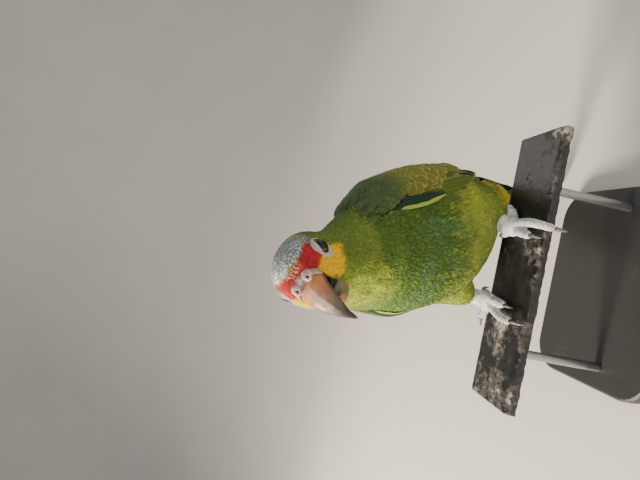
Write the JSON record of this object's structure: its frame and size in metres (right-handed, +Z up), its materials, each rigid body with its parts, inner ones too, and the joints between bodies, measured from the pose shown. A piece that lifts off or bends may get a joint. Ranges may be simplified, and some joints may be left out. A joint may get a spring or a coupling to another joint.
{
  "type": "parrot model",
  "caption": "Life-size standing Amazon parrot with red lores, yellow cheeks and folded wings, gripping a short cut of flat handrail on a plain stand.",
  "frame": {"origin": "middle of the underside of the stand's base", "axes": "+Z up, +X along the rail towards the bird's left, -Y the way the bird faces"},
  "size_m": [0.216, 0.2054, 0.2881],
  "materials": {
    "head_plumage": "soft small feathers, lilac grey crown, red lores and forehead, yellow cheek",
    "body_plumage": "soft overlapping green feathers with darker edges on the neck",
    "wing_plumage": "firm overlapping olive and green feathers with paler edges",
    "tail_plumage": "firm green quill feathers, yellow green towards their tips",
    "upper_beak_horn": "satin horn, peach at the root and grey to black at the tip",
    "lower_beak_horn": "satin olive grey horn",
    "tongue_flesh": "moist orange flesh",
    "cere_skin": "dry pale grey skin with bristles",
    "eye_gloss": "wet gloss, black pupil in an orange brown iris",
    "foot_skin": "dry finely scaled whitish grey skin",
    "claw_horn": "smooth dark horn",
    "rail_paint": "worn black gloss paint with rusty and pale patches",
    "base_paint": "even matt charcoal paint",
    "rod_steel": "drawn satin steel"
  },
  "bodies": {
    "root": {"head": "head_plumage", "neck": "body_plumage", "trunk": "body_plumage", "thigh_left": "body_plumage", "thigh_right": "body_plumage", "wing_left": "wing_plumage", "wing_right": "wing_plumage", "tail": "tail_plumage", "upper_beak": "upper_beak_horn", "lower_beak": "lower_beak_horn", "tongue": "tongue_flesh", "cere": "cere_skin", "eye_left": "eye_gloss", "eye_right": "eye_gloss", "foot_left": "foot_skin", "foot_right": "foot_skin", "toe_left_outer_front": "foot_skin", "toe_left_inner_front": "foot_skin", "toe_left_outer_rear": "foot_skin", "toe_left_inner_rear": "foot_skin", "toe_right_outer_front": "foot_skin", "toe_right_inner_front": "foot_skin", "toe_right_outer_rear": "foot_skin", "toe_right_inner_rear": "foot_skin", "claw_left_outer_front": "claw_horn", "claw_left_inner_front": "claw_horn", "claw_left_outer_rear": "claw_horn", "claw_left_inner_rear": "claw_horn", "claw_right_outer_front": "claw_horn", "claw_right_inner_front": "claw_horn", "claw_right_outer_rear": "claw_horn", "claw_right_inner_rear": "claw_horn", "perch_rail": "rail_paint", "stand_base": "base_paint", "stand_rod_left": "rod_steel", "stand_rod_right": "rod_steel"}
  },
  "joints": []
}
